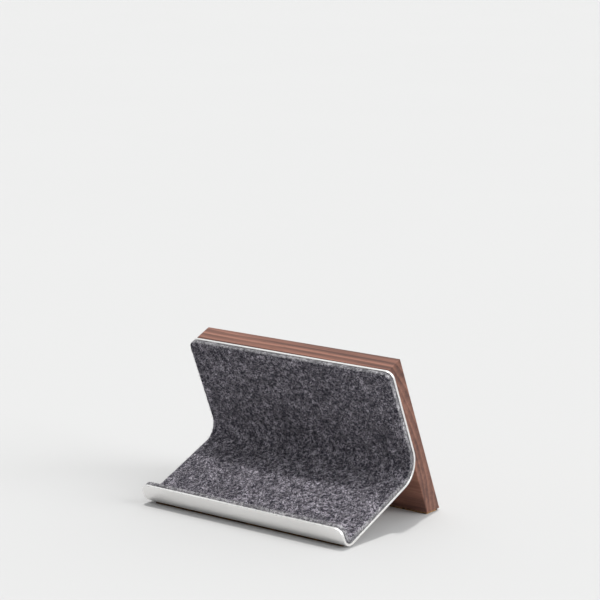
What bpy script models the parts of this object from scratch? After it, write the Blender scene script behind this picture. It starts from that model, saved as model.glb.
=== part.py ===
"""Tablet stand: a bent sheet-metal cradle lined with felt, carried by a leaning hardwood leg.

Frame: metres, +Z up, +X along the lip, -Y towards the user.
The origin is at the middle of the bounding box's base, on the desk.
"""
import math

import bmesh
import bpy
from mathutils import Vector

# ---------------------------------------------------------------- driving dimensions, metres
SHEET_WIDTH = 0.159            # along X
SHEET_THICKNESS = 0.0016
SHEET_CORNER = 0.005           # rounded corners of the lip and of the flange
LIP_LENGTH = 0.0085            # straight part of the lip, above the trough bend
TROUGH_RADIUS = 0.0072         # outside radius of the trough bend
RAMP_LENGTH = 0.058            # straight part of the ramp, between the two bends
BACK_RADIUS = 0.0165           # outside radius of the back bend
FLANGE_LENGTH = 0.059          # straight part of the flange, above the back bend
TILT = math.radians(23.0)      # ramp above the desk, and lip and flange off the vertical

FELT_THICKNESS = 0.003
FELT_INSET = 0.0004            # the felt stops this far inside the sheet's outline

LEG_WIDTH = 0.1524             # along X
LEG_THICKNESS = 0.0127
LEG_EASED_EDGE = 0.0006        # radius of the sanded edges

FOOT_THICKNESS = 0.0008
FRONT_FOOT_WIDTH = 0.149       # along X
FRONT_FOOT_LEAD = math.radians(12.0)  # the front strip starts this far ahead of the lowest line
FRONT_FOOT_TAIL = 0.005        # and runs this far back under the ramp
REAR_FOOT_INSET = 0.0002       # from the flat part of the base, all round

SCREW_SHAFT = 0.0030           # diameters and lengths of the countersunk screws
SCREW_HEAD = 0.0056
SCREW_LENGTH = 0.0080
SCREW_SOCKET = 0.0020          # hexagon socket, across its flats
SCREW_SOCKET_DEPTH = 0.0010
SCREW_COLUMNS = (-0.050, 0.050)       # along X
SCREW_ROWS = (0.014, 0.046)           # up the flange from the back bend

INSERT_DIAMETER = 0.0050       # knurled sleeves in the leg
INSERT_LENGTH = 0.0070
INSERT_KNURL = 0.00025         # depth of the knurl
INSERT_TEETH = 12
INSERT_DEPTH = 0.0005          # the sleeve's mouth sits this far below the leg's face

FIT_GAP = 0.0003               # between pieces that touch
CUT_MARGIN = 0.001             # a cutter starts this far outside the face that it cuts

BEND_STEPS = 14                # facets in each bend
CORNER_STEPS = 6               # facets in each rounded corner
EDGE_STEPS = 3                 # facets in each eased edge
ROUND_SIDES = 24               # sides of screws and holes


# ---------------------------------------------------------------- side profile, in the YZ plane
def polar(angle):
    """Unit vector (y, z) at an angle from +Y towards +Z."""
    return Vector((math.cos(angle), math.sin(angle)))


UP_RAMP = polar(TILT)
OFF_RAMP = polar(TILT + math.pi / 2)      # also the direction of the lip and of the flange
TROUGH_CENTRE = Vector((0.0, FOOT_THICKNESS + FIT_GAP + TROUGH_RADIUS))
RAMP_START = TROUGH_CENTRE - OFF_RAMP * TROUGH_RADIUS
RAMP_END = RAMP_START + UP_RAMP * RAMP_LENGTH
BACK_CENTRE = RAMP_END + OFF_RAMP * BACK_RADIUS


def sheet_profile(depth, margin=0.0):
    """Points from the lip's edge to the flange's edge, at a depth under the outer skin.

    Each entry is (point, distance from the nearer edge of the sheet's outline).
    The outline is drawn in by the margin at both edges.
    """
    trough = TROUGH_RADIUS - depth
    back = BACK_RADIUS - depth
    lip_foot = TROUGH_CENTRE - UP_RAMP * trough
    flange_foot = BACK_CENTRE + UP_RAMP * back
    lip = LIP_LENGTH - margin
    flange = FLANGE_LENGTH - margin
    corner = SHEET_CORNER - margin
    reach = [corner * (1 - math.cos(math.pi / 2 * i / CORNER_STEPS)) for i in range(CORNER_STEPS + 1)]

    points = [(lip_foot + OFF_RAMP * (lip - step), step) for step in reach]
    for i in range(BEND_STEPS + 1):
        angle = TILT + math.pi + math.pi / 2 * i / BEND_STEPS
        points.append((TROUGH_CENTRE + polar(angle) * trough, lip))
    for i in range(BEND_STEPS + 1):
        angle = TILT + math.pi * 1.5 + math.pi / 2 * i / BEND_STEPS
        points.append((BACK_CENTRE + polar(angle) * back, flange))
    points += [(flange_foot + OFF_RAMP * (flange - step), step) for step in reversed(reach)]
    return points


def half_width(distance, margin=0.0):
    """Half the width of the sheet's outline, at a distance from its rounded end."""
    corner = SHEET_CORNER - margin
    short = max(corner - distance, 0.0)
    return SHEET_WIDTH / 2 - margin - corner + math.sqrt(corner ** 2 - short ** 2)


def leg_outline(inset):
    """Side outline of the leg, drawn in by the inset, with its corners eased."""
    face = BACK_CENTRE + UP_RAMP * (BACK_RADIUS + FIT_GAP)
    base = FOOT_THICKNESS + FIT_GAP

    def on_base(point):
        return point + OFF_RAMP * ((base - point.y) / OFF_RAMP.y)

    back = face + UP_RAMP * LEG_THICKNESS
    top = OFF_RAMP * FLANGE_LENGTH
    corners = [on_base(face), on_base(back), back + top, face + top]
    outline = []
    for i, corner in enumerate(corners):
        before = (corners[i - 1] - corner).normalized()
        after = (corners[(i + 1) % len(corners)] - corner).normalized()
        half_angle = before.angle(after) / 2
        inward = (before + after).normalized()
        centre = corner + inward * (LEG_EASED_EDGE / math.sin(half_angle))
        radius = LEG_EASED_EDGE - inset
        first = (before * inward.dot(before) - inward).normalized()
        last = (after * inward.dot(after) - inward).normalized()
        for k in range(EDGE_STEPS + 1):
            turn = k / EDGE_STEPS
            direction = (first * (1 - turn) + last * turn).normalized()
            outline.append(centre + direction * radius)
    return outline


# ---------------------------------------------------------------- mesh helpers
def circle(radius, height, sides=ROUND_SIDES):
    steps = [2 * math.pi * i / sides for i in range(sides)]
    return [Vector((radius * math.cos(t), radius * math.sin(t), height)) for t in steps]


def hexagon(flats, height, sides=ROUND_SIDES):
    """A hexagon drawn with as many points as the circles around it."""
    ring = []
    for i in range(sides):
        angle = 2 * math.pi * i / sides
        from_flat = (angle + math.pi / 6) % (math.pi / 3) - math.pi / 6
        radius = flats / 2 / math.cos(from_flat)
        ring.append(Vector((radius * math.cos(angle), radius * math.sin(angle), height)))
    return ring


def loft(name, rings, closed=False):
    """A solid through rings of equal length: capped at both ends, or closed on itself."""
    bm = bmesh.new()
    rows = [[bm.verts.new(point) for point in ring] for ring in rings]
    pairs = list(zip(rows, rows[1:]))
    if closed:
        pairs.append((rows[-1], rows[0]))
    else:
        bm.faces.new(rows[0])
        bm.faces.new(rows[-1])
    for low, high in pairs:
        for i in range(len(low)):
            j = (i + 1) % len(low)
            bm.faces.new((low[i], low[j], high[j], high[i]))
    bmesh.ops.recalc_face_normals(bm, faces=bm.faces)
    mesh = bpy.data.meshes.new(name)
    bm.to_mesh(mesh)
    bm.free()
    return mesh


def place(name, mesh, material, parent, location=(0, 0, 0), rotation=(0, 0, 0), smooth=35.0):
    piece = bpy.data.objects.new(name, mesh)
    bpy.context.scene.collection.objects.link(piece)
    piece.parent = parent
    piece.location = location
    piece.rotation_euler = rotation
    if material is not None and not mesh.materials:
        mesh.materials.append(material)
    mesh.shade_smooth()
    mesh.set_sharp_from_angle(angle=math.radians(smooth))
    return piece


def cut(piece, cutter):
    cutter.hide_render = True
    cutter.display_type = "WIRE"
    boolean = piece.modifiers.new(cutter.name, "BOOLEAN")
    boolean.operation = "DIFFERENCE"
    boolean.solver = "EXACT"
    boolean.object = cutter


def principled(name, color, roughness, metallic):
    material = bpy.data.materials.new(name)
    material.use_nodes = True
    shader = material.node_tree.nodes["Principled BSDF"]
    shader.inputs["Base Color"].default_value = (*color, 1.0)
    shader.inputs["Roughness"].default_value = roughness
    shader.inputs["Metallic"].default_value = metallic
    return material


# ---------------------------------------------------------------- sub-parts
def bent_sheet(name, material, parent, skin, back, margin=0.0):
    """A sheet between two depths under the cradle's outer skin, bent along the side profile."""
    rings = []
    for (outer, edge), (inner, _) in zip(sheet_profile(skin, margin), sheet_profile(back, margin)):
        half = half_width(edge, margin)
        corners = ((-half, outer), (half, outer), (half, inner), (-half, inner))
        rings.append([Vector((x, point.x, point.y)) for x, point in corners])
    return place(name, loft(name, rings), material, parent)


def make_leg(material, parent):
    """A board cut flat where it stands, its ends eased like its long edges."""
    rings = []
    half = LEG_WIDTH / 2
    for side in (-1, 1):
        rounds = []
        for k in range(EDGE_STEPS + 1):
            angle = math.pi / 2 * k / EDGE_STEPS
            x = side * (half - LEG_EASED_EDGE * (1 - math.sin(angle)))
            inset = LEG_EASED_EDGE * (1 - math.cos(angle))
            rounds.append([Vector((x, point.x, point.y)) for point in leg_outline(inset)])
        rings += reversed(rounds) if side < 0 else rounds
    return place("leg", loft("leg", rings), material, parent)


def make_front_foot(material, parent):
    """A thin strip round the underside of the trough bend, running back under the ramp."""
    rings = []
    half = FRONT_FOOT_WIDTH / 2
    start = math.pi * 1.5 - FRONT_FOOT_LEAD
    end = math.pi * 1.5 + TILT
    steps = BEND_STEPS // 2
    inner = TROUGH_RADIUS + FIT_GAP
    outer = inner + FOOT_THICKNESS
    for i in range(steps + 1):
        ray = polar(start + (end - start) * i / steps)
        pair = (TROUGH_CENTRE + ray * outer, TROUGH_CENTRE + ray * inner)
        rings.append(pair)
    rings.append([point + UP_RAMP * FRONT_FOOT_TAIL for point in rings[-1]])
    rings = [[Vector((-half, a.x, a.y)), Vector((half, a.x, a.y)),
              Vector((half, b.x, b.y)), Vector((-half, b.x, b.y))] for a, b in rings]
    return place("front_foot_strip", loft("front_foot_strip", rings), material, parent)


def make_rear_foot(material, parent):
    """A thin strip under the leg's flat base."""
    base = [point for point in leg_outline(0.0) if point.y < FOOT_THICKNESS + 2 * FIT_GAP]
    front = min(point.x for point in base) + REAR_FOOT_INSET
    rear = max(point.x for point in base) - REAR_FOOT_INSET
    half = LEG_WIDTH / 2 - LEG_EASED_EDGE - REAR_FOOT_INSET
    rings = []
    for height in (0.0, FOOT_THICKNESS):
        rings.append([Vector((x, y, height)) for x, y in
                      ((-half, front), (half, front), (half, rear), (-half, rear))])
    return place("rear_foot_strip", loft("rear_foot_strip", rings), material, parent)


def screw_mesh():
    """Countersunk screw: the head's face is at height 0 and the shaft runs down."""
    cone = (SCREW_HEAD - SCREW_SHAFT) / 2
    tip = SCREW_SHAFT / 2 - 2 * FIT_GAP
    rings = [
        circle(tip, -SCREW_LENGTH),
        circle(SCREW_SHAFT / 2, -SCREW_LENGTH + 2 * FIT_GAP),
        circle(SCREW_SHAFT / 2, -cone),
        circle(SCREW_HEAD / 2, 0.0),
        hexagon(SCREW_SOCKET, 0.0),
        hexagon(SCREW_SOCKET, -SCREW_SOCKET_DEPTH),
    ]
    return loft("countersunk_screw", rings)


def insert_mesh():
    """Knurled sleeve: its mouth is at height 0 and it runs down round the screw."""
    def knurled(height):
        ring = circle(INSERT_DIAMETER / 2, height, INSERT_TEETH * 2)
        shrink = 1 - INSERT_KNURL / (INSERT_DIAMETER / 2)
        for i in range(0, len(ring), 2):
            ring[i] = Vector((ring[i].x * shrink, ring[i].y * shrink, height))
        return ring

    bore = SCREW_SHAFT / 2 + FIT_GAP
    sides = INSERT_TEETH * 2
    rings = [knurled(-INSERT_LENGTH), knurled(0.0), circle(bore, 0.0, sides), circle(bore, -INSERT_LENGTH, sides)]
    return loft("threaded_insert", rings, closed=True)


def sheet_hole_mesh():
    """Countersunk clearance hole through the sheet, from its front face at height 0."""
    shaft = SCREW_SHAFT / 2 + FIT_GAP
    head = SCREW_HEAD / 2 + FIT_GAP
    depth = head - shaft
    rings = [
        circle(shaft, -SHEET_THICKNESS - CUT_MARGIN),
        circle(shaft, -depth),
        circle(head, 0.0),
        circle(head, CUT_MARGIN),
    ]
    return loft("sheet_hole", rings)


def leg_hole_mesh():
    """Blind hole for a sleeve, from the leg's front face at height 0."""
    radius = INSERT_DIAMETER / 2 + FIT_GAP
    depth = INSERT_DEPTH + INSERT_LENGTH + FIT_GAP
    return loft("leg_hole", [circle(radius, -depth), circle(radius, CUT_MARGIN)])


def build():
    for old in list(bpy.data.objects):
        bpy.data.objects.remove(old, do_unlink=True)

    steel = principled("satin_steel", (0.62, 0.61, 0.60), 0.35, 1.0)
    felt = principled("charcoal_felt", (0.09, 0.09, 0.10), 0.95, 0.0)
    walnut = principled("oiled_walnut", (0.16, 0.07, 0.04), 0.5, 0.0)
    cork = principled("cork", (0.45, 0.27, 0.13), 0.85, 0.0)
    zinc = principled("plated_steel", (0.55, 0.55, 0.56), 0.3, 1.0)
    brass = principled("brass", (0.70, 0.50, 0.22), 0.3, 1.0)

    front = sheet_profile(0.0)[0][0].x
    rear = max(point.x for point in leg_outline(0.0))
    stand = bpy.data.objects.new("stand_origin", None)
    bpy.context.scene.collection.objects.link(stand)
    stand.location = (0, -(front + rear) / 2, 0)

    cradle = bent_sheet("cradle_plate", steel, stand, 0.0, SHEET_THICKNESS)
    felt_face = SHEET_THICKNESS + FIT_GAP
    bent_sheet("felt_liner", felt, stand, felt_face, felt_face + FELT_THICKNESS, FELT_INSET)
    leg = make_leg(walnut, stand)
    make_front_foot(cork, stand)
    make_rear_foot(cork, stand)

    screws = screw_mesh()
    inserts = insert_mesh()
    sheet_holes = sheet_hole_mesh()
    leg_holes = leg_hole_mesh()
    facing = (math.pi / 2 + TILT, 0, 0)      # turns local +Z to the flange's front normal
    for x, side in zip(SCREW_COLUMNS, ("left", "right")):
        for up, level in zip(SCREW_ROWS, ("lower", "upper")):
            axis = BACK_CENTRE + OFF_RAMP * up
            sheet_face = axis + UP_RAMP * (BACK_RADIUS - SHEET_THICKNESS)
            leg_face = axis + UP_RAMP * (BACK_RADIUS + FIT_GAP)
            mouth = leg_face + UP_RAMP * INSERT_DEPTH
            at_sheet = (x, sheet_face.x, sheet_face.y)
            at_leg = (x, leg_face.x, leg_face.y)
            place(f"screw_{side}_{level}", screws, zinc, stand, at_sheet, facing)
            place(f"insert_{side}_{level}", inserts, brass, stand, (x, mouth.x, mouth.y), facing)
            cut(cradle, place(f"sheet_hole_{side}_{level}", sheet_holes, None, stand, at_sheet, facing))
            cut(leg, place(f"leg_hole_{side}_{level}", leg_holes, None, stand, at_leg, facing))


build()
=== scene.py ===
"""Looks of the tablet stand: a satin steel cradle lined with felt, on a leaning walnut leg.

Everything is in metres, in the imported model's frame: +X along the lip, -Y towards the user, +Z up.
"""
import math
import random

import bmesh
import bpy
from mathutils import Matrix, Vector, noise


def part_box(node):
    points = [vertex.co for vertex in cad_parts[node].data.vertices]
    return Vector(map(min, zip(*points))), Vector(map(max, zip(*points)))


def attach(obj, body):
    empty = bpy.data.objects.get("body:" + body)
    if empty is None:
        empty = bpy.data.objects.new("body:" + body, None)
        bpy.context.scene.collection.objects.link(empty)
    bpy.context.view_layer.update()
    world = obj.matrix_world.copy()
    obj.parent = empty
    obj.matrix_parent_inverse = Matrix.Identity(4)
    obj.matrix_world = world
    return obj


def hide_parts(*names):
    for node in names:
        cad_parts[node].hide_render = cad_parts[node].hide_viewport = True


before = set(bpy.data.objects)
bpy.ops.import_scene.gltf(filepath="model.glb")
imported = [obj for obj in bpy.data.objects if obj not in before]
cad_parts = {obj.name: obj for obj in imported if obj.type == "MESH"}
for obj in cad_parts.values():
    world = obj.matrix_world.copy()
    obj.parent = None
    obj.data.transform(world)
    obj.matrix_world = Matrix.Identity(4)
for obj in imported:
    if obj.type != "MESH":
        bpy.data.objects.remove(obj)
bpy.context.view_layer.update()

# ---------------------------------------------------------------- sizes, metres
TILT = math.radians(23.0)        # ramp above the desk, and lip and flange off the vertical
SHEET_THICKNESS = 0.0016
SHEET_CORNER = 0.005
SHEET_EDGE = 0.00025             # radius of the sheet's broken edges
LIP_LENGTH = 0.0085
TROUGH_RADIUS = 0.0072           # outside radii of the two bends
BACK_RADIUS = 0.0165
RAMP_LENGTH = 0.058
FLANGE_LENGTH = 0.059
FELT_FACE = 0.0049               # depth of the felt's face under the sheet's outer skin
GLUE_LINE = 0.0003               # dark line between the sheet and the felt
FELT_INSET = 0.0001
FELT_EDGE = 0.0008
LEG_EDGE = 0.0006
FIT_GAP = 0.0003
FRONT_FOOT_LEAD = math.radians(12.0)
FRONT_FOOT_TAIL = 0.005
SCREW_SHAFT = 0.0030
SCREW_HEAD = 0.0056
SCREW_COLUMNS = (-0.050, 0.050)
SCREW_ROWS = (0.014, 0.046)
INSERT_HOLE = 0.0028             # radius and depth of the leg's four blind holes
INSERT_HOLE_DEPTH = 0.0078
LEG_THICKNESS = 0.0127
RING_CENTRE = Vector((0.150, 0.040))    # the growth rings' axis, in front of the leg and above its foot
RING_SPACING = 0.0042
EASE_STEPS = 6                   # facets in each eased edge of the leg
MM = 0.001

SHEET_SPACING = 0.7 * MM         # between the rows of each bent mesh
FELT_SPACING = 1.0 * MM
FRONT_FOOT_SPACING = 0.5 * MM
REAR_FOOT_SPACING = 1.0 * MM
FELT_COLUMNS = 150
FOOT_COLUMNS = 60
FOOT_CORNER = 1.0 * MM
FOOT_EDGE = 0.15 * MM
FOOT_CLEARANCE = 0.00002         # between a strip and the piece that it is bonded to
RAGGED_EDGE = 1.5 * MM           # the felt's sides are uneven within this distance of the edge
SHEET_RIM = 0.75                 # steepness from which a face counts as part of the rim
FELT_RIM = 0.45
WORN_EDGE = (0.0003, 0.0012)     # rubbed bright within the first distance of an end, fading out by the second

PALE_FIBRES = (3600, 3400)       # how many lie on the felt's face, and how many stand out of its edges
DARK_FIBRES = (3000, 2400)
FIBRE_RADIUS = (0.022, 0.045)    # millimetres

FACE_SHADE, END_SHADE = 1.34, 0.99      # brightness of the walnut's faces and of its end grain; the faces' higher value is partly painted light that brightens the leg's shaded front face
FACE_RINGS, END_RINGS = 0.18, 0.15      # how much the growth rings darken each

FLOOR_REACH = 12.0
CAMERA_PLACE = (0.84129, -1.06661, 0.40400)
CAMERA_DOWN = 11.245             # degrees below the level
CAMERA_TURN = 38.04              # degrees round from the stand's front
CAMERA_LENS = 133.9              # millimetres, on a sensor 36 wide
CAMERA_SENSOR = 36.0

ROOM_TINT = (0.975, 0.99, 1.0, 1.0)
ROOM_BRIGHT_SIDE = (0.20, 0.74, 0.64)   # the room is brightest this way, behind and above
ROOM_STRENGTHS = (0.0, 1.13)            # opposite that side, and towards it
HORIZON_HEIGHTS = (0.10, 0.18)          # the pale band fades between these heights of the direction
HORIZON_STRENGTHS = (0.86, 0.0)
OVERHEAD_SUN, OVERHEAD_FROM, OVERHEAD_SPREAD = 1.70, (-0.07, -0.02, 1.0), 3
OVERHEAD_TINT = (1.0, 0.985, 0.96)
RIGHT_SUN, RIGHT_FROM, RIGHT_SPREAD = 1.75, (1.0, 0.15, 0.45), 40

SHEET_LOW, SHEET_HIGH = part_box("cradle_plate")
LEG_LOW, LEG_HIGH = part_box("leg")
FRONT_FOOT_LOW, FRONT_FOOT_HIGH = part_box("front_foot_strip")
REAR_FOOT_LOW, REAR_FOOT_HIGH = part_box("rear_foot_strip")
SHEET_WIDTH = SHEET_HIGH.x - SHEET_LOW.x


# ---------------------------------------------------------------- side profile, in the YZ plane
def polar(angle):
    """Unit vector (y, z) at an angle from +Y towards +Z."""
    return Vector((math.cos(angle), math.sin(angle)))


UP_RAMP = polar(TILT)
OFF_RAMP = polar(TILT + math.pi / 2)
LIP_REACH = TROUGH_RADIUS * math.cos(TILT) + LIP_LENGTH * math.sin(TILT)
TROUGH_CENTRE = Vector((SHEET_LOW.y + LIP_REACH, SHEET_LOW.z + TROUGH_RADIUS))
BACK_CENTRE = TROUGH_CENTRE + UP_RAMP * RAMP_LENGTH + OFF_RAMP * (BACK_RADIUS - TROUGH_RADIUS)


class Cradle:
    """The bent side profile, with its length measured at one depth under the outer skin."""

    def __init__(self, depth):
        self.trough = (TROUGH_RADIUS - depth) * math.pi / 2
        self.back = (BACK_RADIUS - depth) * math.pi / 2
        self.length = LIP_LENGTH + self.trough + RAMP_LENGTH + self.back + FLANGE_LENGTH
        self.ramp_start = LIP_LENGTH + self.trough

    def at(self, run, depth):
        """The point at a distance along the profile and a depth, and the way out of the skin."""
        if run < LIP_LENGTH:
            foot = TROUGH_CENTRE - UP_RAMP * (TROUGH_RADIUS - depth)
            return foot + OFF_RAMP * (LIP_LENGTH - run), -UP_RAMP
        run -= LIP_LENGTH
        if run < self.trough:
            out = polar(TILT + math.pi + math.pi / 2 * run / self.trough)
            return TROUGH_CENTRE + out * (TROUGH_RADIUS - depth), out
        run -= self.trough
        if run < RAMP_LENGTH:
            start = TROUGH_CENTRE - OFF_RAMP * (TROUGH_RADIUS - depth)
            return start + UP_RAMP * run, -OFF_RAMP
        run -= RAMP_LENGTH
        if run < self.back:
            out = polar(TILT + math.pi * 1.5 + math.pi / 2 * run / self.back)
            return BACK_CENTRE + out * (BACK_RADIUS - depth), out
        run -= self.back
        return BACK_CENTRE + UP_RAMP * (BACK_RADIUS - depth) + OFF_RAMP * run, UP_RAMP

    def point(self, x, run, depth):
        place, _ = self.at(run, depth)
        return Vector((x, place.x, place.y))

    def outward(self, run):
        _, out = self.at(run, 0.0)
        return Vector((0.0, out.x, out.y))


# ---------------------------------------------------------------- mesh helpers
def add_object(name, mesh, smooth=40.0):
    mesh.shade_smooth()
    mesh.set_sharp_from_angle(angle=math.radians(smooth))
    piece = bpy.data.objects.new(name, mesh)
    bpy.context.scene.collection.objects.link(piece)
    return piece


def finish_mesh(bm, name):
    bmesh.ops.recalc_face_normals(bm, faces=bm.faces)
    mesh = bpy.data.meshes.new(name)
    bm.to_mesh(mesh)
    bm.free()
    return mesh


class Outline:
    """The flat outline of a sheet with rounded corners, as rows across it."""

    def __init__(self, length, width, corner, spacing, margin=0.0, steps=8):
        self.start, self.end = margin, length - margin
        self.half = width / 2 - margin
        self.corner = corner - margin
        turns = [math.pi / 2 * i / steps for i in range(steps + 1)]
        straight = self.end - self.start - 2 * self.corner
        count = round(straight / spacing)
        even = [self.start + self.corner + straight * i / count for i in range(1, count)]
        self.rows = ([("first", turn) for turn in turns] + [("middle", run) for run in even]
                     + [("last", turn) for turn in reversed(turns)])

    def at(self, row, inset):
        """(distance along the sheet, half the width there), with the outline drawn in by inset."""
        kind, value = row
        if kind == "middle":
            return value, self.half - inset
        radius = self.corner - inset
        reach = self.corner - radius * math.cos(value)
        half = self.half - self.corner + radius * math.sin(value)
        return (self.start + reach if kind == "first" else self.end - reach), half


def slab(name, outline, columns, layers, place):
    """A closed slab over an outline. layers are (depth, inset) from one face to the other,
    and place(x, run, depth) maps the flat slab to its bent shape."""
    bm = bmesh.new()
    ends = (outline.rows[0], outline.rows[-1])

    def across(row, depth, inset, whole):
        run, half = outline.at(row, inset)
        steps = range(columns + 1) if whole else (0, columns)
        return {i: bm.verts.new(place(half * (2 * i / columns - 1), run, depth)) for i in steps}

    grids = []
    for k, (depth, inset) in enumerate(layers):
        face = k in (0, len(layers) - 1)
        grids.append([across(row, depth, inset, face or row in ends) for row in outline.rows])

    for grid in (grids[0], grids[-1]):
        for low, high in zip(grid, grid[1:]):
            for i in range(columns):
                bm.faces.new((low[i], low[i + 1], high[i + 1], high[i]))
    for near, far in zip(grids, grids[1:]):
        for end in (0, -1):
            for i in range(columns):
                bm.faces.new((near[end][i], near[end][i + 1], far[end][i + 1], far[end][i]))
        for side in (0, columns):
            for k in range(len(outline.rows) - 1):
                bm.faces.new((near[k][side], near[k + 1][side], far[k + 1][side], far[k][side]))
    return finish_mesh(bm, name)


def rounded_layers(front, back, radius, steps, middle=1):
    """Depths and insets of a slab whose two rims are rounded to a radius."""
    quarter = [math.pi / 2 * i / steps for i in range(steps + 1)]
    rim = [(radius * (1 - math.sin(a)), radius * (1 - math.cos(a))) for a in quarter]
    near = [(front + down, inset) for inset, down in rim]
    far = [(back - down, inset) for inset, down in reversed(rim)]
    start, end = near[-1][0], far[0][0]
    between = [(start + (end - start) * i / middle, 0.0) for i in range(1, middle)]
    return near + between + far


def revolve(name, profile, sides=48):
    """A closed solid of revolution about local Z through (radius, height) points."""
    bm = bmesh.new()
    rings = []
    for radius, height in profile:
        angles = [2 * math.pi * i / sides for i in range(sides)]
        rings.append([bm.verts.new((radius * math.cos(t), radius * math.sin(t), height)) for t in angles])
    bm.faces.new(rings[0])
    bm.faces.new(rings[-1])
    for low, high in zip(rings, rings[1:]):
        for i in range(sides):
            j = (i + 1) % sides
            bm.faces.new((low[i], low[j], high[j], high[i]))
    return finish_mesh(bm, name)


def drill(piece, cutter_mesh, spots):
    """Cuts the same hole into the flange or the leg at several places, with no modifier left."""
    cutters = []
    for spot in spots:
        cutter = bpy.data.objects.new("drill", cutter_mesh)
        bpy.context.scene.collection.objects.link(cutter)
        cutter.location = spot
        cutter.rotation_euler = (math.pi / 2 + TILT, 0, 0)
        boolean = piece.modifiers.new("hole", "BOOLEAN")
        boolean.operation = "DIFFERENCE"
        boolean.solver = "EXACT"
        boolean.object = cutter
        cutters.append(cutter)
    bpy.context.view_layer.update()
    depsgraph = bpy.context.evaluated_depsgraph_get()
    mesh = bpy.data.meshes.new_from_object(piece.evaluated_get(depsgraph))
    mesh.name = piece.name
    piece.modifiers.clear()
    piece.data = mesh
    mesh.shade_smooth()
    mesh.set_sharp_from_angle(angle=math.radians(40))
    for cutter in cutters:
        bpy.data.objects.remove(cutter)


# ---------------------------------------------------------------- material helpers
class Paint:
    """Builds one material's nodes in plain calls."""

    def __init__(self, name):
        self.material = bpy.data.materials.new(name)
        self.material.use_nodes = True
        self.tree = self.material.node_tree
        self.shader = self.tree.nodes["Principled BSDF"]

    def set(self, **values):
        for name, value in values.items():
            self.shader.inputs[name.replace("_", " ")].default_value = value

    def link(self, source, target):
        self.tree.links.new(source, self.shader.inputs[target])

    def node(self, kind, inputs=(), **settings):
        made = self.tree.nodes.new(kind)
        for name, value in settings.items():
            setattr(made, name, value)
        for name, value in dict(inputs).items():
            if isinstance(value, bpy.types.NodeSocket):
                self.tree.links.new(value, made.inputs[name])
            else:
                made.inputs[name].default_value = value
        return made

    def place(self, scale=(1, 1, 1), rotation=(0, 0, 0)):
        """The piece's own coordinates, turned and then scaled."""
        source = self.node("ShaderNodeTexCoord").outputs["Object"]
        turned = self.node("ShaderNodeVectorRotate", {"Vector": source, "Rotation": rotation},
                           rotation_type="EULER_XYZ").outputs["Vector"]
        return self.node("ShaderNodeVectorMath", {0: turned, 1: scale}, operation="MULTIPLY").outputs[0]

    def noise(self, vector, scale, detail=4.0, roughness=0.5, distortion=0.0):
        values = {"Vector": vector, "Scale": scale, "Detail": detail, "Roughness": roughness,
                  "Distortion": distortion}
        return self.node("ShaderNodeTexNoise", values).outputs["Fac"]

    def math(self, operation, *values):
        return self.node("ShaderNodeMath", dict(enumerate(values)), operation=operation).outputs[0]

    def span(self, value, low, high, to_low=0.0, to_high=1.0):
        """Maps a range of a value smoothly on to another range."""
        values = {"Value": value, "From Min": low, "From Max": high, "To Min": to_low, "To Max": to_high}
        return self.node("ShaderNodeMapRange", values, interpolation_type="SMOOTHSTEP").outputs["Result"]

    def mix(self, share, first, second):
        """A colour between two colours."""
        made = self.node("ShaderNodeMix", data_type="RGBA")
        for index, value in ((0, share), (6, first), (7, second)):
            if isinstance(value, bpy.types.NodeSocket):
                self.tree.links.new(value, made.inputs[index])
            else:
                made.inputs[index].default_value = value if index == 0 else (*value, 1.0)
        return made.outputs[2]

    def ramp(self, value, stops):
        made = self.node("ShaderNodeValToRGB", {"Fac": value})
        elements = made.color_ramp.elements
        while len(elements) < len(stops):
            elements.new(0.5)
        for element, (position, color) in zip(elements, stops):
            element.position = position
            element.color = (*color, 1.0)
        return made.outputs["Color"]

    def bump(self, height, distance, strength=1.0):
        values = {"Height": height, "Distance": distance, "Strength": strength}
        self.link(self.node("ShaderNodeBump", values).outputs["Normal"], "Normal")


# ---------------------------------------------------------------- materials
def satin_steel():
    """Rolled sheet with fine lines along X, faint cloudiness and brighter rubbed ends."""
    paint = Paint("satin_steel")
    paint.set(Metallic=1.0)
    lines = paint.noise(paint.place((0.03, 1, 1)), 5200, 3, 0.6)
    clouds = paint.noise(paint.place((0.5, 1, 1)), 60, 3)
    across = paint.node("ShaderNodeSeparateXYZ", {"Vector": paint.place()}).outputs["X"]
    to_end = paint.math("SUBTRACT", SHEET_WIDTH / 2, paint.math("ABSOLUTE", across))
    worn = paint.span(to_end, *WORN_EDGE, 1.0, 0.0)
    grey = paint.mix(paint.span(clouds, 0.3, 0.7), (0.86, 0.85, 0.838), (0.91, 0.90, 0.888))
    grey = paint.mix(paint.span(lines, 0.35, 0.7, 0.0, 0.35), grey, (0.80, 0.79, 0.778))
    paint.link(paint.mix(worn, grey, (0.91, 0.90, 0.887)), "Base Color")
    drawn = paint.span(lines, 0.3, 0.7, 0.30, 0.42)
    rough = paint.math("ADD", drawn, paint.span(clouds, 0.3, 0.7, -0.03, 0.03))
    paint.link(paint.math("SUBTRACT", rough, paint.math("MULTIPLY", worn, 0.08)), "Roughness")
    paint.bump(lines, 0.00001, 0.6)
    return paint.material


def cut_edge_steel():
    """The sheet's sawn and polished rim, brighter than its faces, with fine cross lines."""
    paint = Paint("cut_edge_steel")
    paint.set(Metallic=1.0)
    cross = paint.noise(paint.place((0.2, 1, 1)), 2600, 3, 0.6)
    clouds = paint.noise(paint.place(), 150, 3)
    grey = paint.mix(paint.span(clouds, 0.3, 0.7), (0.86, 0.85, 0.835), (0.92, 0.91, 0.895))
    paint.link(grey, "Base Color")
    paint.link(paint.span(cross, 0.3, 0.7, 0.24, 0.38), "Roughness")
    paint.bump(cross, 0.00001, 0.5)
    return paint.material


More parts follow.
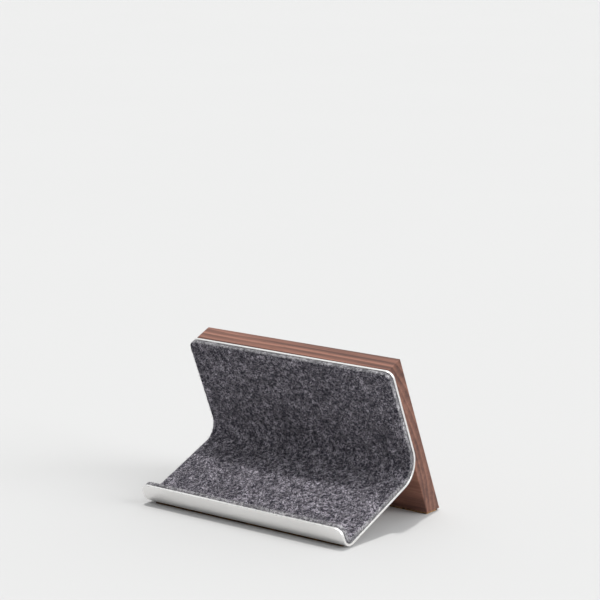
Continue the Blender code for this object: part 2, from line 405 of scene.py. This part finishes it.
def curly_lines(paint, scale, width, turn):
    """Thin curling lines, where a bent noise crosses its middle, broken into short lengths."""
    vector = paint.place((1, 1, 1), (turn, 0.7 * turn, 1.3 * turn))
    wave = paint.noise(vector, scale, 2, 0.5, 1.1)
    away = paint.math("ABSOLUTE", paint.math("SUBTRACT", wave, 0.5))
    line = paint.span(away, 0.3 * width, width, 1.0, 0.0)
    gaps = paint.span(paint.noise(vector, 0.9 * scale, 2), 0.42, 0.56)
    return paint.math("MULTIPLY", line, gaps)


def felt_paint(name, dark, middle, pale, share):
    """Pressed wool: curling pale fibres matted into dark ones. A greater share shows more of them."""
    paint = Paint(name)
    paint.set(Metallic=0.0, Sheen_Weight=0.06, Sheen_Roughness=0.6, Specular_IOR_Level=0.15)
    mat = paint.noise(paint.place(), 1500, 4, 0.65)
    thick = curly_lines(paint, 320, 0.040 * share, 0.4)
    thin = curly_lines(paint, 520, 0.046 * share, 1.7)
    finest = curly_lines(paint, 900, 0.060 * share, 2.9)
    patches = paint.noise(paint.place(), 110, 3, 0.6)
    base = paint.mix(paint.span(mat, 0.38, 0.66), dark, middle)
    wool = paint.mix(paint.math("MULTIPLY", finest, 0.35), base, pale)
    wool = paint.mix(paint.math("MULTIPLY", thin, 0.75), wool, pale)
    wool = paint.mix(paint.math("MULTIPLY", thick, paint.span(mat, 0.3, 0.6, 0.55, 1.0)), wool, pale)
    paint.link(paint.mix(paint.span(patches, 0.38, 0.62, 0.0, 0.35), wool, dark), "Base Color")
    paint.link(paint.span(mat, 0.3, 0.7, 0.86, 1.0), "Roughness")
    height = paint.math("ADD", paint.math("MAXIMUM", thick, thin), paint.math("MULTIPLY", mat, 0.8))
    paint.bump(height, 0.0005, 0.8)
    return paint.material


def charcoal_felt():
    dark, middle, pale = (0.007, 0.0065, 0.013), (0.031, 0.029, 0.044), (0.655, 0.61, 0.69)
    return felt_paint("charcoal_felt", dark, middle, pale, 1.0)


def cut_felt_and_highlight():
    """The felt's cut edge, painted lighter: its pale fibres are cut short, and a painted highlight stands for
    the light that the edge catches.
    """
    dark, middle, pale = (0.044, 0.043, 0.050), (0.138, 0.134, 0.147), (0.56, 0.545, 0.57)
    return felt_paint("cut_felt_and_highlight", dark, middle, pale, 1.8)


def wool_fibre(name, dark, light):
    """A loose fibre, a little paler or darker along its length."""
    paint = Paint(name)
    paint.set(Metallic=0.0, Sheen_Weight=0.2, Specular_IOR_Level=0.25)
    tone = paint.noise(paint.place(), 420, 2)
    paint.link(paint.mix(paint.span(tone, 0.35, 0.65), dark, light), "Base Color")
    paint.link(paint.span(paint.noise(paint.place(), 1500, 2), 0.3, 0.7, 0.7, 0.95), "Roughness")
    return paint.material


def oiled_walnut(name, base, shade, rings):
    """Growth rings about a far axis, so they run along X on the faces and lengthways on the ends.

    base is the front of the leg's foot, and the rings lean with the board. shade is the brightness,
    lower on the end grain, which soaks up more oil, and raised on the faces as painted light that brightens
    the leg's shaded front face. rings is how much the growth rings darken it.
    """
    paint = Paint(name)
    paint.set(Metallic=0.0, Specular_IOR_Level=0.32)
    upright = (-TILT, 0, 0)
    foot = Matrix.Rotation(-TILT, 3, "X") @ base
    sway = paint.noise(paint.place((0.12, 1, 0.5), upright), 34, 3, 0.5)
    parts = paint.node("ShaderNodeSeparateXYZ", {"Vector": paint.place((1, 1, 1), upright)}).outputs
    depth = paint.math("ADD", parts["Y"], RING_CENTRE.x - foot.y)
    height = paint.math("SUBTRACT", parts["Z"], RING_CENTRE.y + foot.z)
    square = paint.math("ADD", paint.math("MULTIPLY", depth, depth), paint.math("MULTIPLY", height, height))
    radius = paint.math("SQRT", square)
    drift = paint.math("MULTIPLY", paint.math("SUBTRACT", sway, 0.5), 0.010)
    taper = paint.math("MULTIPLY", parts["X"], 0.022)
    ring = paint.math("ADD", paint.math("ADD", radius, drift), taper)
    years = paint.node("ShaderNodeCombineXYZ", {"X": ring}).outputs[0]
    spread = paint.math("MULTIPLY", paint.noise(years, 190, 2), 0.0050)
    cycle = paint.math("FRACT", paint.math("MULTIPLY", paint.math("ADD", ring, spread), 1 / RING_SPACING))
    growth = paint.math("MULTIPLY", paint.span(cycle, 0.0, 0.80), paint.span(cycle, 0.84, 1.0, 1.0, 0.0))
    seasons = paint.noise(years, 260, 2)
    bands = paint.noise(paint.place((0.06, 1, 0.6), upright), 70, 4, 0.6)
    streaks = paint.noise(paint.place((0.03, 1, 1), upright), 330, 3, 0.6)
    fibre = paint.noise(paint.place((0.02, 1, 1), upright), 1300, 4, 0.65)
    pores = paint.noise(paint.place((0.04, 1, 1), upright), 2300, 2, 0.5)
    tone = paint.math("ADD", paint.math("MULTIPLY", growth, rings), paint.math("MULTIPLY", bands, 0.40))
    tone = paint.math("ADD", tone, paint.math("MULTIPLY", seasons, 0.26))
    tone = paint.math("ADD", tone, paint.math("MULTIPLY", streaks, 0.32))
    tone = paint.math("ADD", tone, paint.math("MULTIPLY", fibre, 0.22))
    stops = (
        (0.38, (0.340, 0.172, 0.120)),
        (0.52, (0.262, 0.122, 0.084)),
        (0.66, (0.165, 0.071, 0.049)),
        (0.82, (0.070, 0.029, 0.021)),
    )
    color = paint.ramp(tone, [(where, [part * shade for part in tint]) for where, tint in stops])
    open_pores = paint.span(pores, 0.63, 0.72)
    color = paint.mix(paint.math("MULTIPLY", open_pores, 0.6), color, (0.055, 0.024, 0.017))
    paint.link(color, "Base Color")
    sanded = paint.span(fibre, 0.3, 0.7, 0.40, 0.52)
    paint.link(paint.math("ADD", sanded, paint.math("MULTIPLY", open_pores, 0.25)), "Roughness")
    relief = paint.math("SUBTRACT", paint.math("MULTIPLY", fibre, 0.35), open_pores)
    paint.bump(relief, 0.00012, 0.5)
    return paint.material


def cork_rubber(name, shade):
    """Fine cork granules with darker joints. shade scales the colour, and a low shade is painted shade."""
    paint = Paint(name)
    paint.set(Metallic=0.0, Specular_IOR_Level=0.3)
    cells = paint.node("ShaderNodeTexVoronoi", {"Vector": paint.place(), "Scale": 900.0, "Randomness": 1.0})
    tone = paint.node("ShaderNodeSeparateColor", {"Color": cells.outputs["Color"]}).outputs[0]
    dark, light = (0.19, 0.098, 0.042), (0.42, 0.24, 0.11)
    color = paint.mix(tone, [part * shade for part in dark], [part * shade for part in light])
    joint = paint.span(cells.outputs["Distance"], 0.35, 0.75)
    paint.link(paint.mix(joint, color, (0.03, 0.016, 0.008)), "Base Color")
    paint.link(paint.span(tone, 0.0, 1.0, 0.75, 0.95), "Roughness")
    paint.bump(paint.math("MULTIPLY", cells.outputs["Distance"], -1.0), 0.0003, 0.6)
    return paint.material


def machined_metal(name, low, high, rough):
    """Plated or turned metal with a light tarnish and turning marks."""
    paint = Paint(name)
    paint.set(Metallic=1.0)
    tarnish = paint.noise(paint.place(), 700, 4, 0.6)
    marks = paint.noise(paint.place(), 5000, 2)
    paint.link(paint.mix(paint.span(tarnish, 0.35, 0.65), low, high), "Base Color")
    paint.link(paint.span(marks, 0.3, 0.7, rough - 0.07, rough + 0.09), "Roughness")
    paint.bump(marks, 0.00002, 0.4)
    return paint.material


def studio_floor():
    paint = Paint("studio_floor")
    paint.set(Metallic=0.0, Specular_IOR_Level=0.1)
    tone = paint.noise(paint.place(), 3, 2)
    paint.link(paint.mix(tone, (0.548, 0.548, 0.548), (0.556, 0.556, 0.556)), "Base Color")
    paint.set(Roughness=0.9)
    return paint.material


# ---------------------------------------------------------------- pieces
def make_cradle_sheet():
    cradle = Cradle(SHEET_THICKNESS / 2)
    outline = Outline(cradle.length, SHEET_WIDTH, SHEET_CORNER, SHEET_SPACING)
    layers = rounded_layers(0.0, SHEET_THICKNESS, SHEET_EDGE, 4)
    mesh = slab("cradle_sheet", outline, 4, layers, cradle.point)
    mesh.materials.append(satin_steel())
    mesh.materials.append(cut_edge_steel())
    piece = add_object("cradle_sheet", mesh)
    shaft, head = SCREW_SHAFT / 2 + FIT_GAP, SCREW_HEAD / 2 + FIT_GAP
    hole = revolve("sheet_hole", (
        (shaft, -SHEET_THICKNESS - MM), (shaft, shaft - head), (head, 0.0), (head, MM)))
    drill(piece, hole, flange_spots(SHEET_THICKNESS))
    mark_rim(piece.data, SHEET_RIM)
    return piece


def mark_rim(mesh, steepness):
    """Gives the second material to the rim of a bent sheet, which faces neither in nor out of it."""
    top = BACK_CENTRE + UP_RAMP * BACK_RADIUS + OFF_RAMP * FLANGE_LENGTH
    lip = TROUGH_CENTRE - UP_RAMP * TROUGH_RADIUS + OFF_RAMP * LIP_LENGTH
    rise = Vector((0.0, OFF_RAMP.x, OFF_RAMP.y))
    for face in mesh.polygons:
        centre = Vector((face.center.y, face.center.z))
        end = lip if centre.x < TROUGH_CENTRE.x else top
        near_end = (centre - end).dot(OFF_RAMP) > -SHEET_CORNER
        along = abs(face.normal.dot(rise)) if near_end else 0.0
        face.material_index = 1 if math.hypot(face.normal.x, along) > steepness else 0


def flange_spots(depth):
    """Places of the four screws at a depth under the flange's rear skin."""
    spots = []
    for x in SCREW_COLUMNS:
        for up in SCREW_ROWS:
            spot = BACK_CENTRE + OFF_RAMP * up + UP_RAMP * (BACK_RADIUS - depth)
            spots.append(Vector((x, spot.x, spot.y)))
    return spots


def felt_relief(spot):
    """Height of the felt's uneven surface at a place: broad dents, small dents and tufts."""
    broad = noise.noise(spot * 90)
    small = noise.noise(spot * 420)
    tufts = noise.noise(spot * 1300)
    return MM * (0.08 * broad + 0.12 * small + 0.10 * tufts)


def make_felt_lining(cradle):
    back = SHEET_THICKNESS + GLUE_LINE
    outline = Outline(cradle.length, SHEET_WIDTH, SHEET_CORNER, FELT_SPACING, FELT_INSET, 6)

    def place(x, run, depth):
        spot = cradle.point(x, run, depth)
        relief = felt_relief(spot)
        spot -= cradle.outward(run) * relief * (depth - back) / (FELT_FACE - back)
        if SHEET_WIDTH / 2 - abs(x) < RAGGED_EDGE:
            spot.x += math.copysign(relief, x) * 1.5
        return spot

    layers = rounded_layers(back, FELT_FACE, FELT_EDGE, 3, 3)
    mesh = slab("felt_lining", outline, FELT_COLUMNS, layers, place)
    mesh.materials.append(charcoal_felt())
    # The rim's lighter felt is partly a painted highlight.
    mesh.materials.append(cut_felt_and_highlight())
    mark_rim(mesh, FELT_RIM)
    return add_object("felt_lining", mesh, 80)


def add_fibre(bm, points, radius):
    """A tapered three-sided fibre through some points."""
    rings = []
    for k, point in enumerate(points):
        ahead = points[min(k + 1, len(points) - 1)] - points[max(k - 1, 0)]
        side = ahead.orthogonal().normalized()
        up = ahead.cross(side).normalized()
        size = radius * (0.45 if k in (0, len(points) - 1) else 1.0)
        angles = (0.0, 2 * math.pi / 3, 4 * math.pi / 3)
        rings.append([bm.verts.new(point + (side * math.cos(t) + up * math.sin(t)) * size) for t in angles])
    bm.faces.new(reversed(rings[0]))
    bm.faces.new(rings[-1])
    for low, high in zip(rings, rings[1:]):
        for i in range(3):
            j = (i + 1) % 3
            bm.faces.new((low[i], low[j], high[j], high[i]))


def face_fibre(rng, cradle):
    """A fibre that lies curled on the felt's face."""
    half = SHEET_WIDTH / 2 - FELT_INSET - 2 * MM
    x = rng.uniform(-half, half)
    run = rng.uniform(2 * MM, cradle.length - 2 * MM)
    heading = rng.uniform(0, 2 * math.pi)
    curl = rng.uniform(-1.6, 1.6)
    reach = rng.uniform(0.8, 2.6) * MM
    lift = rng.uniform(0.0, 0.20) * MM
    points = []
    for step in range(5):
        share = step / 4
        spot = cradle.point(x, run, FELT_FACE)
        rise = felt_relief(spot) + lift * math.sin(math.pi * share) - 0.01 * MM
        points.append(spot - cradle.outward(run) * rise)
        x += math.cos(heading + curl * share) * reach / 4
        run += math.sin(heading + curl * share) * reach / 4
    return points


def edge_fibre(rng, cradle):
    """A short fibre that stands out of the felt's cut edge, mostly along the lip and the sides."""
    half = SHEET_WIDTH / 2 - FELT_INSET
    depth = rng.uniform(SHEET_THICKNESS + 2 * GLUE_LINE, FELT_FACE)
    if rng.random() < 0.5:
        x = rng.uniform(-half + SHEET_CORNER, half - SHEET_CORNER)
        run = FELT_INSET if rng.random() < 0.65 else cradle.length - FELT_INSET
        out = Vector((0.0, OFF_RAMP.x, OFF_RAMP.y))
    else:
        x = math.copysign(half, rng.random() - 0.5)
        run = rng.uniform(SHEET_CORNER, cradle.length - SHEET_CORNER)
        out = Vector((math.copysign(1.0, x), 0.0, 0.0))
    start = cradle.point(x, run, depth) - out * 0.2 * MM
    stray = Vector([rng.uniform(-0.8, 0.8) for _ in range(3)])
    skin = cradle.outward(run)
    stray -= skin * max(0.0, stray.dot(skin) + 0.1)
    bend = Vector([rng.uniform(-0.3, 0.3) for _ in range(3)]) * MM
    reach = rng.uniform(0.25, 0.9) * MM
    return [start + (out + stray) * reach * share + bend * share ** 2 for share in (0, 0.33, 0.67, 1)]


def make_fibres(name, material, cradle, lying, standing, seed):
    rng = random.Random(seed)
    bm = bmesh.new()
    lines = [face_fibre(rng, cradle) for _ in range(lying)]
    lines += [edge_fibre(rng, cradle) for _ in range(standing)]
    for points in lines:
        add_fibre(bm, points, rng.uniform(*FIBRE_RADIUS) * MM)
    mesh = finish_mesh(bm, name)
    mesh.materials.append(material)
    return add_object(name, mesh, 180)


def board_outline(inset, length):
    """Side outline of the leg in its own axes: Y through the board, Z up its length.

    The base is cut on the slope that makes it flat on the desk. The corners are eased.
    """
    drop = -LEG_THICKNESS * math.tan(TILT)
    corners = [Vector((0, 0)), Vector((LEG_THICKNESS, drop)),
               Vector((LEG_THICKNESS, length)), Vector((0, length))]
    outline = []
    for i, corner in enumerate(corners):
        before = (corners[i - 1] - corner).normalized()
        after = (corners[(i + 1) % 4] - corner).normalized()
        inward = (before + after).normalized()
        centre = corner + inward * (LEG_EDGE / math.sin(before.angle(after) / 2))
        first = (before * inward.dot(before) - inward).normalized()
        last = (after * inward.dot(after) - inward).normalized()
        for k in range(EASE_STEPS + 1):
            outline.append(centre + first.slerp(last, k / EASE_STEPS) * (LEG_EDGE - inset))
    return outline


def make_leg():
    """The board, modelled upright in its own axes and then leaned forward against the flange."""
    face = BACK_CENTRE + UP_RAMP * (BACK_RADIUS + FIT_GAP)
    base = face + OFF_RAMP * ((LEG_LOW.z - face.y) / OFF_RAMP.y)
    length = (face + OFF_RAMP * FLANGE_LENGTH - base).length
    bm = bmesh.new()
    rows = []
    for side in (-1, 1):
        rounds = []
        for k in range(EASE_STEPS + 1):
            angle = math.pi / 2 * k / EASE_STEPS
            x = side * (LEG_HIGH.x - LEG_EDGE * (1 - math.sin(angle)))
            ring = board_outline(LEG_EDGE * (1 - math.cos(angle)), length)
            rounds.append([bm.verts.new((x, p.x, p.y)) for p in ring])
        rows += rounds[::-1] if side < 0 else rounds
    bm.faces.new(rows[0])
    bm.faces.new(rows[-1])
    for low, high in zip(rows, rows[1:]):
        for i in range(len(low)):
            j = (i + 1) % len(low)
            bm.faces.new((low[i], low[j], high[j], high[i]))
    mesh = finish_mesh(bm, "walnut_leg")
    foot = Vector((0.0, base.x, base.y))
    mesh.transform(Matrix.Translation(foot) @ Matrix.Rotation(TILT, 4, "X"))
    # The faces' walnut is brighter than the end grain's, partly as painted light on the leg's shaded front
    # face.
    mesh.materials.append(oiled_walnut("oiled_walnut", foot, FACE_SHADE, FACE_RINGS))
    mesh.materials.append(oiled_walnut("walnut_end_grain", foot, END_SHADE, END_RINGS))
    for face in mesh.polygons:
        face.material_index = 1 if abs(face.normal.x) > 0.7 else 0
    piece = add_object("walnut_leg", mesh)
    bore = revolve("leg_hole", ((INSERT_HOLE, -INSERT_HOLE_DEPTH), (INSERT_HOLE, MM)))
    drill(piece, bore, flange_spots(-FIT_GAP))
    return piece


def make_front_foot():
    """The strip bonded round the underside of the trough bend."""
    thickness = SHEET_LOW.z - FRONT_FOOT_LOW.z
    cradle = Cradle(-thickness / 2)
    lead = LIP_LENGTH + cradle.trough * (math.pi / 2 - TILT - FRONT_FOOT_LEAD) / (math.pi / 2)
    tail = cradle.ramp_start + FRONT_FOOT_TAIL
    outline = Outline(tail - lead, 2 * FRONT_FOOT_HIGH.x, FOOT_CORNER, FRONT_FOOT_SPACING)
    layers = rounded_layers(-thickness, -FOOT_CLEARANCE, FOOT_EDGE, 3)

    def place(x, run, depth):
        return cradle.point(x, run + lead, depth)

    mesh = slab("front_foot", outline, FOOT_COLUMNS, layers, place)
    # The front strip's cork is darkened to 0.35 as painted shade, standing for the deep shade in the gap
    # under the trough.
    mesh.materials.append(cork_rubber("painted_shade_cork_rubber", 0.35))
    return add_object("front_foot", mesh)


def make_rear_foot():
    """The strip bonded under the leg's flat base."""
    length = REAR_FOOT_HIGH.y - REAR_FOOT_LOW.y
    outline = Outline(length, REAR_FOOT_HIGH.x - REAR_FOOT_LOW.x, FOOT_CORNER, REAR_FOOT_SPACING)
    layers = rounded_layers(REAR_FOOT_LOW.z, LEG_LOW.z - FOOT_CLEARANCE, FOOT_EDGE, 3)

    def place(x, run, depth):
        return Vector((x, REAR_FOOT_LOW.y + run, depth))

    mesh = slab("rear_foot", outline, FOOT_COLUMNS, layers, place)
    mesh.materials.append(cork_rubber("cork_rubber", 1.0))
    return add_object("rear_foot", mesh)


def dress_fasteners():
    """Screws and inserts keep their CAD shapes, and get their metals."""
    zinc = machined_metal("zinc_plate", (0.50, 0.50, 0.51), (0.66, 0.66, 0.67), 0.30)
    brass = machined_metal("turned_brass", (0.58, 0.38, 0.14), (0.78, 0.56, 0.25), 0.28)
    for name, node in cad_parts.items():
        metal = zinc if name.startswith("screw_") else brass if name.startswith("insert_") else None
        if metal is not None:
            node.data.materials.clear()
            node.data.materials.append(metal)


# ---------------------------------------------------------------- stage
def make_floor():
    reach = FLOOR_REACH
    bm = bmesh.new()
    corners = ((-reach, -reach), (reach, -reach), (reach, reach), (-reach, reach))
    bm.faces.new([bm.verts.new((x, y, 0.0)) for x, y in corners])
    mesh = finish_mesh(bm, "floor")
    mesh.materials.append(studio_floor())
    floor = add_object("floor", mesh)


def make_sun(name, energy, place, spread):
    """A sun that shines from a place towards the origin. spread is its angle across, in degrees."""
    data = bpy.data.lights.new(name, "SUN")
    data.energy = energy
    data.angle = math.radians(spread)
    light = bpy.data.objects.new(name, data)
    bpy.context.scene.collection.objects.link(light)
    light.location = place
    light.rotation_euler = (-Vector(place)).to_track_quat("-Z", "Y").to_euler()
    return data


def light_studio():
    """A pale room, dim in front and bright behind, with a sun overhead and a broad one on the right.

    A pale band round the horizon stands for the foot of its walls.
    """
    world = bpy.data.worlds.new("studio")
    world.use_nodes = True
    nodes, links = world.node_tree.nodes, world.node_tree.links
    direction = nodes.new("ShaderNodeTexCoord").outputs["Generated"]

    def level(axis, reach, strengths):
        """Strength by how far a direction lies along an axis, from one reach to the other."""
        along = nodes.new("ShaderNodeVectorMath")
        along.operation = "DOT_PRODUCT"
        along.inputs[1].default_value = axis
        scale = nodes.new("ShaderNodeMapRange")
        for name, value in zip(("From Min", "From Max", "To Min", "To Max"), (*reach, *strengths)):
            scale.inputs[name].default_value = value
        links.new(direction, along.inputs[0])
        links.new(along.outputs["Value"], scale.inputs["Value"])
        return scale.outputs["Result"]

    strongest = nodes.new("ShaderNodeMath")
    strongest.operation = "MAXIMUM"
    links.new(level(ROOM_BRIGHT_SIDE, (-1.0, 1.0), ROOM_STRENGTHS), strongest.inputs[0])
    links.new(level((0.0, 0.0, 1.0), HORIZON_HEIGHTS, HORIZON_STRENGTHS), strongest.inputs[1])
    background = nodes["Background"]
    background.inputs["Color"].default_value = ROOM_TINT
    links.new(strongest.outputs[0], background.inputs["Strength"])
    bpy.context.scene.world = world
    make_sun("overhead", OVERHEAD_SUN, OVERHEAD_FROM, OVERHEAD_SPREAD).color = OVERHEAD_TINT
    make_sun("broad_right", RIGHT_SUN, RIGHT_FROM, RIGHT_SPREAD)


def make_camera():
    data = bpy.data.cameras.new("camera")
    data.sensor_width = CAMERA_SENSOR
    data.lens = CAMERA_LENS
    data.clip_end = 100.0
    camera = bpy.data.objects.new("camera", data)
    bpy.context.scene.collection.objects.link(camera)
    camera.location = CAMERA_PLACE
    camera.rotation_euler = (math.radians(90 - CAMERA_DOWN), 0.0, math.radians(CAMERA_TURN))
    bpy.context.scene.camera = camera


# ---------------------------------------------------------------- the stand
make_camera()
light_studio()
make_floor()
bpy.context.scene.view_settings.view_transform = "Standard"

felt_line = Cradle((SHEET_THICKNESS + FELT_FACE) / 2)
sheet = make_cradle_sheet()
felt = make_felt_lining(felt_line)
pale_wool = wool_fibre("pale_wool", (0.26, 0.255, 0.27), (0.58, 0.57, 0.58))
dark_wool = wool_fibre("dark_wool", (0.016, 0.016, 0.021), (0.09, 0.09, 0.098))
pale_fibres = make_fibres("pale_fibres", pale_wool, felt_line, *PALE_FIBRES, 11)
dark_fibres = make_fibres("dark_fibres", dark_wool, felt_line, *DARK_FIBRES, 12)
leg = make_leg()
front_foot = make_front_foot()
rear_foot = make_rear_foot()
dress_fasteners()

for piece, slot, nodes in (
        (sheet, "satin_steel", ("cradle_plate",)),
        (felt, "charcoal_felt", ("felt_liner",)),
        (pale_fibres, "charcoal_felt", ()),
        (dark_fibres, "charcoal_felt", ()),
        (leg, "oiled_walnut", ("leg",)),
        (front_foot, "cork_rubber", ("front_foot_strip",)),
        (rear_foot, "cork_rubber", ("rear_foot_strip",))):
    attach(piece, "root")
    if nodes:
        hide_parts(*nodes)
